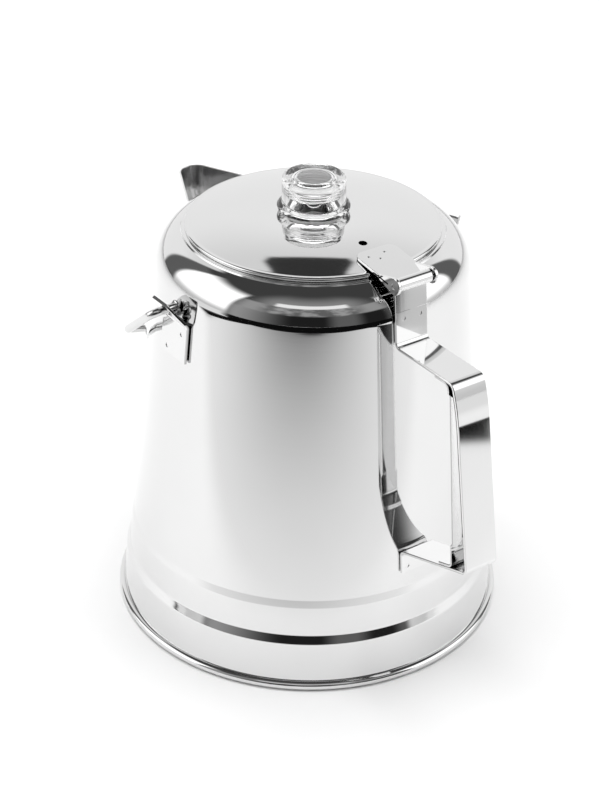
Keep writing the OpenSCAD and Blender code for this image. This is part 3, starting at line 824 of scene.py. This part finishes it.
def build_liner():
    """The channel inside the grip: a base with two flanges, its ends curled onto the arms."""
    stack = (STRAP_T + LINER_T) / 2 + GAP
    arm = unit(on_wall(ARM_TOP_Z, STRAP_T), GRIP_TOP)
    low = unit(on_wall(ARM_LOW_Z, STRAP_T), GRIP_LOW)
    a, b = GRIP_TOP - Vector((LINER_GAP[0], 0)), GRIP_LOW - Vector((LINER_GAP[1], 0))
    along = unit(a, b)
    out = left_of(along)
    hi = meet(a, along, GRIP_TOP - left_of(arm) * stack, arm)
    lo = meet(a, along, GRIP_LOW + left_of(low) * stack, low)
    curl = 9.0
    path = rounded([hi - arm * curl, hi, lo, lo - low * curl], [0, 3, 2.4, 0], 10)
    edge = flange_edge(at_height(hi, lo, FLANGE_FOOT_Z))
    profile = [((q - hi).dot(along), (q - hi).dot(out)) for q in edge]
    first, last = profile[0][0], profile[-1][0]

    # The flanges begin and end within a tenth of a millimetre, on the one long run of the path.
    long_run, start_gap, steps = 40, 0.1, 60
    stations = []
    for i, p in enumerate(path):
        stations.append((p, 0.0))
        if i + 1 < len(path) and (path[i + 1] - p).length > long_run:
            stations.append((hi + along * (first - start_gap), 0.0))
            for k in range(steps + 1):
                s = first + start_gap + (last - first - 2 * start_gap) * k / steps
                stations.append((hi + along * s, read_line(profile, s)))
            stations.append((hi + along * (last + start_gap), 0.0))
    rings = []
    for (p, n), (_, flange) in zip(path_frames([p for p, _ in stations]), stations):
        section = channel_ring(STRAP_W / 2 - 0.2, LINER_T, flange)
        rings.append([handle_side(p[0] + n[0] * d, p[1] + n[1] * d, c) for c, d in section])
    liner = loft("grip_liner", rings)
    place_piece(liner, STRAP, "pot", "polished_steel", "handle_liner")


build_strap()
build_barrel()
build_liner()

# ---------------------------------------------------------------- ears and bail

EAR_HALF, EAR_LOW_Z, EAR_BEND_Z, EAR_T = 10.0, 152.0, 170.0, 1.4
LUG_RISE, LUG_TIP_HALF, LUG_TIP_Z, LUG_TAPER_Z, LUG_CORNER_R = 54.4, 5.7, 182.0, 171.5, 2.0
PIVOT_Z, WIRE_R, HOLE_GAP = 176.5, 2.0, 0.3
EAR_MARKS = ((-6.1, 165.1), (4.8, 155.2))


def ear_width(z):
    """Half width of the ear at a height: parallel, then tapered, with rounded top corners."""
    slope = (EAR_HALF - LUG_TIP_HALF) / (LUG_TIP_Z - LUG_TAPER_Z)
    tapered = EAR_HALF - slope * max(0.0, z - LUG_TAPER_Z)
    middle_z = LUG_TIP_Z - LUG_CORNER_R
    steep = math.sqrt(1 + slope * slope)
    middle_x = EAR_HALF - slope * (middle_z - LUG_TAPER_Z) - LUG_CORNER_R * steep
    if z < middle_z + LUG_CORNER_R * slope / steep:
        return tapered
    return middle_x + math.sqrt(max(0.0, LUG_CORNER_R**2 - (z - middle_z) ** 2))


def build_ear(side, node):
    """One ear: a plate on the wall whose upper end bends out, with the bail's hole in it."""
    rise = Vector((math.cos(math.radians(LUG_RISE)), math.sin(math.radians(LUG_RISE))))
    bend = on_wall(EAR_BEND_Z, EAR_T)
    reach = (LUG_TIP_Z - 0.42 - EAR_BEND_Z) / rise[1]
    path = dense(rounded([on_wall(EAR_LOW_Z, EAR_T), bend, bend + rise * reach], [0, 2.5, 0], 10), 0.5)

    def ear_side(along, up, across):
        return (across, side * along, up)

    widths = [ear_width(p[1]) for p in path]
    ear = strip(node + "_plate", path, ear_side, EAR_HALF, EAR_T, 0.3, widths)
    cutters = [bar("hole", (0, side * 70, PIVOT_Z), (0, side, 0), WIRE_R + HOLE_GAP, 30)]
    out = Vector((0, side * math.cos(math.radians(TAPER_DEG)), math.sin(math.radians(TAPER_DEG))))
    for x, z in EAR_MARKS:
        start = Vector((x, side * on_wall(z, EAR_T)[0], z)) + out * (EAR_T / 2 - MARK_DEPTH)
        cutters.append(bar("mark", start, out, MARK_R, 5, 32))
    cut(ear, cutters)
    place_piece(ear, STRAP, "pot", "polished_steel", node)


# The bail lies flat here: each point is (distance across, distance from the pivots).
LEG_Y, KNEE, SHOULDER_AT = 87.3, 29.0, (73.9, 41.0)
LOOP_LEAN, BAIL_REACH, BAIL_HANG = 25.6, 116.5, 39.0
STUB_Y, STUB_T = 74.5, 1.2
STUB_HEAD_R, STUB_EASE = 3.0, (0.4, 0.3)


def build_bail():
    """The wire bail with a head on each end, inside the ears, hanging towards the spout."""
    lean = math.radians(LOOP_LEAN)
    corner = SHOULDER_AT[1] + SHOULDER_AT[0] / math.tan(lean)
    loop_r = (corner - BAIL_REACH) / (1 / math.sin(lean) - 1)
    half = [(STUB_Y + 0.1, 0), (LEG_Y, 0), (LEG_Y, KNEE), SHOULDER_AT]
    line = half + [(0, corner)] + [(-y, u) for y, u in reversed(half)]
    flat = dense(rounded(line, [0, 4, 6, 8, loop_r, 8, 6, 4, 0], 24), 4.0)
    hang = math.radians(BAIL_HANG)
    path = [(u * math.cos(hang), y, PIVOT_Z - u * math.sin(hang)) for y, u in flat]
    wire = tube("bail_wire", path, WIRE_R, 48)
    place_piece(wire, WIRE, "bail", "wire_steel", "bail")
    flat_r, ease = STUB_HEAD_R - STUB_EASE[0], STUB_EASE[1]
    loop = [(0, 0), (flat_r, 0), (STUB_HEAD_R, ease)]
    loop += [(STUB_HEAD_R, STUB_T - ease), (flat_r, STUB_T), (0, STUB_T)]
    for from_y in (STUB_Y + STUB_T, -STUB_Y):
        head = turned("bail_head", loop, (0, from_y, PIVOT_Z))
        place_piece(head, WIRE, "bail", "wire_steel")


build_ear(1, "ear_left")
build_ear(-1, "ear_right")
build_bail()

# ---------------------------------------------------------------- hinge

TAB_W, TAB_T, TAB_FROM, TAB_SLOPE, TAB_CORNER_R = 21.6, 1.4, 45.0, 0.12, 4.0
TAB_TO = HINGE[0] - BARREL_R - 0.8
LUG_R, LUG_FROM = 4.0, 63.0
TAB_MARKS, TAB_MARK_R = ((49.9, -2.8), (50.2, 6.1), (53.5, 2.1)), 0.8
PIN_RECESS = 0.3
PIN_NEAR = TAB_W / 2 - PIN_RECESS


def tab_line(x):
    """Height of the tab's underside at a distance from the centre line."""
    return dome(TAB_FROM) + GAP - TAB_SLOPE * (x - TAB_FROM)


def plate(name, outline, low, high, ease=0.25):
    """A flat plate standing on the handle's side, between two distances across."""
    middle = sum((Vector(p) for p in outline), Vector((0, 0))) / len(outline)
    work = bmesh.new()
    for inset, c in ((ease, low), (0, low + ease), (0, high - ease), (ease, high)):
        for p in outline:
            v = Vector(p)
            v -= (v - middle).normalized() * inset
            work.verts.new(Vector(handle_side(v[0], v[1], c)) * MM)
    bmesh.ops.convex_hull(work, input=work.verts)
    mesh = bpy.data.meshes.new(name)
    work.to_mesh(mesh)
    work.free()
    obj = add_object(name, mesh)
    smooth(obj)
    return obj


def tab_plate():
    """The flat of the tab, rounded at the end that lies on the lid."""
    steps = 12
    rounding = arc((TAB_CORNER_R, 0), TAB_CORNER_R, 180, 90, steps)
    run = TAB_TO - TAB_FROM - TAB_CORNER_R
    stations = [(a, TAB_W / 2 - TAB_CORNER_R + b) for a, b in rounding]
    stations += [(TAB_CORNER_R + run * k / steps, TAB_W / 2) for k in range(1, steps + 1)]
    path = []
    for a, _ in stations:
        x = TAB_FROM + 0.1 + a * 0.995
        path.append(Vector((x, tab_line(x) + TAB_T / 2)))
    return strip("lid_tab_plate", path, handle_side, TAB_W / 2, TAB_T, 0.3, [w for _, w in stations])


def build_tab():
    """The tab welded on the lid, with a lug each side of the strap's barrel."""
    eye = arc(HINGE, LUG_R, -100, 90, 24)
    under = tab_line(LUG_FROM)
    web = [(LUG_FROM, under + TAB_T), (LUG_FROM, under), (HINGE[0] - 1, HINGE[1] - LUG_R)]
    pieces = [tab_plate()]
    for side in (1, -1):
        low, high = sorted((side * (STRAP_W / 2 + 0.6), side * TAB_W / 2))
        pieces.append(plate("lug", eye + web, low, high))
    tab = join("lid_hinge_tab", pieces)
    marks = []
    for x, y in TAB_MARKS:
        at = (-x, y, tab_line(x) + TAB_T - MARK_DEPTH)
        marks.append(bar("mark", at, (0, 0, 1), TAB_MARK_R, 5, 32))
    marks.append(bar("pin_recess", (-HINGE[0], PIN_NEAR - 0.5, HINGE[1]), (0, 1, 0), PIN_R + 0.01, 3, 48))
    cut(tab, marks)
    place_piece(tab, STRAP, "lid", "polished_steel", "lid_tab")


def build_pin():
    """The hinge pin, with its head on the far side."""
    out = TAB_W / 2 + GAP
    loop = [(0, -PIN_NEAR), (PIN_R - 0.25, -PIN_NEAR), (PIN_R, 0.2 - PIN_NEAR), (PIN_R, out)]
    loop += [(2.9, out), (2.9, out + 0.7), (2.5, out + 1.15), (1.6, out + 1.3), (0, out + 1.3)]
    pin = turned("hinge_rod", loop, (-HINGE[0], 0, HINGE[1]))
    place_piece(pin, WIRE, "lid", "polished_steel", "hinge_pin")


build_tab()
build_pin()

# ---------------------------------------------------------------- knob

KNOB_R, RING_R, KNOB_TOP, KNOB_FOOT, NECK_FOOT = 14.7, 16.9, 221.8, 204.95, 199.4
CROWN_BEND_R, RING_BEND_R, FILLET_R = 2.2, 1.5, 0.8
HOLLOW_R, HOLLOW_TOP, HOLLOW_BEND_R = 10.6, KNOB_TOP - 2.6, 2.5
RIPPLES, RIPPLE_DEPTH, RIPPLE_FOOT = 3, 0.18, KNOB_FOOT + 7.4
BORE_R = NECK_R - 2.4
LUG_THICK, LUG_DROP, LUG_CLEAR_DEG = 1.6, 0.3, 4


def knob_outside():
    """The knob's outline from the foot of its neck, round the ring, to the crown."""
    line = [(NECK_R - 0.4, NECK_FOOT), (NECK_R, NECK_FOOT + 0.4), (NECK_R, KNOB_FOOT)]
    line += [(RING_R - 2.6, KNOB_FOOT)]
    line += arc((RING_R - RING_BEND_R, KNOB_FOOT + 1.9), RING_BEND_R, -50, 80, 20)
    line += arc((KNOB_R + FILLET_R, KNOB_FOOT + 4.6), FILLET_R, 250, 180, 8)
    return line + arc((KNOB_R - CROWN_BEND_R, KNOB_TOP - CROWN_BEND_R), CROWN_BEND_R, 0, 90, 16)


def knob_inside():
    """The hollow's outline from under the crown, down its rippled wall, to the foot of the bore."""
    line = [(0, HOLLOW_TOP)]
    line += arc((HOLLOW_R - HOLLOW_BEND_R, HOLLOW_TOP - HOLLOW_BEND_R), HOLLOW_BEND_R, 90, 0, 14)
    top, steps = HOLLOW_TOP - 3, 40
    for k in range(1, steps):
        wave = RIPPLE_DEPTH * (1 - math.cos(2 * math.pi * RIPPLES * k / steps))
        line.append((HOLLOW_R + wave, top + (RIPPLE_FOOT - top) * k / steps))
    funnel = [(HOLLOW_R, KNOB_FOOT + 4), (HOLLOW_R, KNOB_FOOT + 2.2), (BORE_R, KNOB_FOOT - 1.6)]
    funnel += [(BORE_R, NECK_FOOT + 0.4)]
    line += [tuple(p) for p in rounded(funnel, [0, 1, 1, 0], 6)]
    return line + [(BORE_R + 0.4, NECK_FOOT)]


def build_knob():
    """The hollow glass knob, with two bayonet lugs on its neck."""
    knob = lathe("glass_knob", knob_outside() + [(0, KNOB_TOP)] + knob_inside(), 192, 50)
    lug_top = LID_TOP - LID_T - LUG_DROP
    half = NOTCH_ANGLE / 2 - LUG_CLEAR_DEG
    for turn in (90, 270):
        ring = arc((0, 0), NOTCH_R - 0.5, turn - half, turn + half, 16)
        ring += arc((0, 0), NECK_R - 0.4, turn + half, turn - half, 16)
        lug = loft("knob_lug", [[(x, y, z) for x, y in ring] for z in (lug_top - LUG_THICK, lug_top)])
        add_boolean(knob, lug, "UNION")
        apply_modifiers(knob)
        bpy.data.objects.remove(lug)
    smooth(knob, 50)
    place_piece(knob, GLASS, "knob", "knob_glass", "knob")


build_knob()

# ---------------------------------------------------------------- pieces kept from the CAD

PUMP_NODES = ("pump_stem", "stem_collar", "pump_base", "pump_valve")
BASKET_NODES = ("basket", "basket_tube", "basket_lid")

for kept in ("bottom_plate", "lid_collar") + PUMP_NODES + BASKET_NODES:
    keep_node(kept, SATIN)
keep_node("knob_gasket", SILICONE)

# ---------------------------------------------------------------- camera

# From here on, lengths are in metres. The camera stands off the handle's left side and looks down.
CAMERA_AZIMUTH = math.radians(144)
CAMERA_OUT, CAMERA_UP = 0.8307, 0.5995
CAMERA_PITCH, CAMERA_YAW, CAMERA_ROLL = 0.53902, -0.00591, 0.01526
CAMERA_LENS, CAMERA_SENSOR = 90, 36


def build_camera():
    """Looks at the pot from CAMERA_OUT away and CAMERA_UP above the table."""
    data = bpy.data.cameras.new("camera")
    data.lens = CAMERA_LENS
    data.sensor_width = CAMERA_SENSOR
    camera = add_object("camera", data)
    away = Matrix.Rotation(CAMERA_AZIMUTH + math.pi / 2, 4, "Z")
    look = Matrix.Rotation(-CAMERA_YAW, 4, "Z") @ Matrix.Rotation(math.pi / 2 - CAMERA_PITCH, 4, "X")
    roll = Matrix.Rotation(CAMERA_ROLL, 4, "Z")
    stand = Matrix.Translation((0, -CAMERA_OUT, CAMERA_UP))
    camera.matrix_world = away @ stand @ look @ roll
    bpy.context.scene.camera = camera


build_camera()

# ---------------------------------------------------------------- studio

FLOOR_HALF, FLOOR_DROP, FLOOR_TONE = 6.0, 0.0004, 0.92
# The table card: where it starts, and where its dark edges begin in front, to the left and right.
CARD_FROM, CARD_REACH, CARD_DROP, CARD_FADE = 0.12, 5.9, 0.0002, (0.12, 0.2)
TABLE_FRONT, TABLE_LEFT, TABLE_LEFT_END, TABLE_RIGHT = 0.655, 0.545, 1.0, (0.505, 0.62)
FRONT_SOFT, SIDE_SOFT = 0.006, 0.01
STRIP_START, STRIP_FROM, STRIP_SLANT, STRIP_PALE, DARK = 0.2225, 0.5, 0.26, 0.66, 0.005
FLOOR_GLOW, FLOOR_LEAST, SIDE_GLOW = 1.12, 0.3, 0.9
FRONT_DIM, FRONT_CURVE, FRONT_SPREAD, FRONT_SHIFT = 1.5, 1.35, 0.6, -0.13
KEY_SIZE, KEY_POWER, KEY_AT = 2.4, 54, (0.1, 0.1, 2.2)
BACKDROP = 1.0


def flat_sheet(name, low, high, z):
    """A level rectangle from one corner to the opposite one."""
    mesh = bpy.data.meshes.new(name)
    corners = [(low[0], low[1], z), (high[0], low[1], z), (high[0], high[1], z), (low[0], high[1], z)]
    mesh.from_pydata(corners, [], [(0, 1, 2, 3)])
    return add_object(name, mesh)


def build_floor():
    """A pale matt floor a little below the pot's foot."""
    floor = flat_sheet("floor", (-FLOOR_HALF, -FLOOR_HALF), (FLOOR_HALF, FLOOR_HALF), -FLOOR_DROP)
    mat = bpy.data.materials.new("floor_pale")
    mat.use_nodes = True
    shader = mat.node_tree.nodes["Principled BSDF"]
    shader.inputs["Base Color"].default_value = (FLOOR_TONE, FLOOR_TONE, FLOOR_TONE, 1)
    shader.inputs["Roughness"].default_value = 0.6
    shader.inputs["Specular IOR Level"].default_value = 0.2
    floor.data.materials.append(mat)


def table_glow(g, front, side):
    """How bright the tabletop is at a distance in front of the pot and to its side."""
    aside = g.math("ABSOLUTE", side)
    across = g.math("DIVIDE", g.minus(side, FRONT_SHIFT), FRONT_SPREAD)
    middle = g.math("EXPONENT", g.times(g.times(across, across), -1.0))
    dim = g.times(g.math("POWER", g.math("MAXIMUM", front, 0.0), FRONT_CURVE), FRONT_DIM)
    glow = g.math("MAXIMUM", g.minus(FLOOR_GLOW, g.times(dim, middle)), FLOOR_LEAST)
    past_front = g.ease(front, TABLE_FRONT - FRONT_SOFT, TABLE_FRONT + FRONT_SOFT)
    past_left = g.window(g.times(side, -1.0), TABLE_LEFT, TABLE_LEFT_END, SIDE_SOFT)
    past_right = g.window(side, TABLE_RIGHT[0], TABLE_RIGHT[1], SIDE_SOFT)
    slant = g.times(g.minus(side, STRIP_FROM), STRIP_SLANT)
    strip_on = g.ease(g.minus(front, slant), STRIP_START - FRONT_SOFT, STRIP_START + FRONT_SOFT)
    far_side = g.times(g.ease(aside, 0.75, 1.3), g.ease(g.math("DIVIDE", aside, front), 1.5, 2.2))
    glow = g.blend(glow, g.blend(STRIP_PALE, DARK, strip_on), past_right)
    glow = g.blend(glow, DARK, g.math("MAXIMUM", past_front, past_left))
    return g.blend(glow, SIDE_GLOW, far_side)


def build_table_card():
    """The tabletop as the metal sees it: pale near the pot, dimmer in front, dark past its edge."""
    card = flat_sheet("table_card", (CARD_FROM, -CARD_REACH), (CARD_REACH, CARD_REACH), -CARD_DROP)
    card.rotation_euler = (0, 0, CAMERA_AZIMUTH)
    card.visible_camera = False
    card.visible_diffuse = False
    card.visible_shadow = False
    mat = bpy.data.materials.new("table_card")
    mat.use_nodes = True
    nodes = mat.node_tree.nodes
    nodes.remove(nodes["Principled BSDF"])
    g = Graph(mat.node_tree)
    front, side, _ = g.split(g.node("ShaderNodeTexCoord").outputs["Object"])
    light = g.node("ShaderNodeEmission")
    g.feed(light.inputs["Strength"], table_glow(g, front, side))
    clear = g.node("ShaderNodeBsdfTransparent")
    mix = g.node("ShaderNodeMixShader")
    g.feed(mix.inputs[0], g.ease(front, CARD_FADE[0], CARD_FADE[1]))
    g.feed(mix.inputs[1], clear.outputs[0])
    g.feed(mix.inputs[2], light.outputs[0])
    g.feed(nodes["Material Output"].inputs["Surface"], mix.outputs[0])
    mat.cycles.emission_sampling = "NONE"
    card.data.materials.append(mat)


def paint_room(g, direction, azimuth, height):
    """The dim room on the camera's side: ceiling, shelves, a bright line of light, and murk below."""
    aside = g.math("ABSOLUTE", azimuth)
    ceiling, ceiling_front = 0.07, 0.36
    light = g.blend(ceiling, ceiling_front, g.times(g.ease(height, 80, 52), g.ease(aside, 62, 30)))
    front = g.ease(aside, 66, 50)
    clutter = g.ease(g.noise(direction, 7.0, 2.0), 0.4, 0.68)
    shelf = g.blend(g.blend(0.18, 0.5, clutter), 0.45, g.ease(aside, 30, 46))
    light = g.blend(light, shelf, g.times(front, g.ease(height, 46, 42)))
    line = g.times(g.ease(aside, 34, 29), g.window(height, 43.5, 51.5, 1.2))
    light = g.blend(light, 1.3, line)
    left = g.times(g.ease(azimuth, -12, -60), 0.43)
    right = g.times(g.window(azimuth, 14, 34, 6), 0.14)
    murk = g.plus(g.plus(left, right), 0.02)
    return g.blend(light, murk, g.times(front, g.ease(height, 27, 23)))


def paint_sweep(g, light, azimuth, height):
    """The pale sweep behind the pot and the dim gaps at its two ends."""
    aside = g.math("ABSOLUTE", azimuth)
    pale = g.blend(1.24, 1.02, g.ease(height, 26, 46))
    light = g.blend(light, pale, g.times(g.ease(aside, 129, 134), g.ease(height, 55, 50)))
    gap = g.blend(0.16, 0.9, g.ease(height, -7, -12))
    return g.blend(light, gap, g.times(g.window(aside, 114, 131, 2), g.ease(height, 50, 44)))


def paint_boxes(g, light, azimuth, height):
    """A soft box on each side, and the dark card over the sweep that the lid mirrors."""
    aside = g.math("ABSOLUTE", azimuth)
    box = g.times(g.window(aside, 61, 114, 2.5), g.ease(height, 57, 44))
    light = g.blend(light, g.blend(0.85, 1.9, g.ease(height, 0, 12)), box)
    card_azimuth, card_half, card_low, card_high = 180.8, (9.9, 8.0), 43.8, 56
    full_turn = g.math("FLOORED_MODULO", azimuth, 360.0)
    around = g.math("ABSOLUTE", g.minus(full_turn, card_azimuth))
    corner = g.times(1.6, g.ease(height, 46.0, 43.6))
    wide = g.ease(g.plus(around, corner), card_half[0], card_half[1])
    return g.blend(light, 0.05, g.times(wide, g.window(height, card_low, card_high, 0.6)))


def build_world():
    """The studio round the pot, painted by direction in degrees.

    Azimuth is measured from the camera's side and height from the level. Each step below
    blends a strength over what is already there. The camera itself sees a plain pale backdrop.
    """
    world = bpy.data.worlds.new("studio")
    bpy.context.scene.world = world
    world.use_nodes = True
    g = Graph(world.node_tree)
    turn = g.node("ShaderNodeVectorRotate", rotation_type="Z_AXIS")
    g.feed(turn.inputs["Vector"], g.node("ShaderNodeTexCoord").outputs["Generated"])
    turn.inputs["Angle"].default_value = -CAMERA_AZIMUTH
    direction = turn.outputs[0]
    x, y, z = g.split(direction)
    to_degrees = 180 / math.pi
    azimuth = g.times(g.math("ARCTAN2", y, x), to_degrees)
    height = g.times(g.math("ARCSINE", z), to_degrees)
    light = paint_room(g, direction, azimuth, height)
    light = paint_sweep(g, light, azimuth, height)
    light = paint_boxes(g, light, azimuth, height)

    seen = g.node("ShaderNodeBackground")
    g.feed(seen.inputs["Strength"], light)
    plain = g.node("ShaderNodeBackground")
    plain.inputs["Strength"].default_value = BACKDROP
    ray = g.node("ShaderNodeLightPath")
    mix = g.node("ShaderNodeMixShader")
    g.feed(mix.inputs[0], ray.outputs["Is Camera Ray"])
    g.feed(mix.inputs[1], seen.outputs[0])
    g.feed(mix.inputs[2], plain.outputs[0])
    g.feed(world.node_tree.nodes["World Output"].inputs["Surface"], mix.outputs[0])


def build_key():
    """A broad soft light overhead for the floor; the world already shows in the metal."""
    data = bpy.data.lights.new("overhead", "AREA")
    data.shape = "RECTANGLE"
    data.size = KEY_SIZE
    data.size_y = KEY_SIZE
    data.energy = KEY_POWER
    lamp = add_object("overhead", data)
    lamp.location = KEY_AT
    lamp.visible_glossy = False
    lamp.visible_camera = False


build_floor()
build_table_card()
build_world()
build_key()
bpy.context.scene.view_settings.view_transform = "Standard"
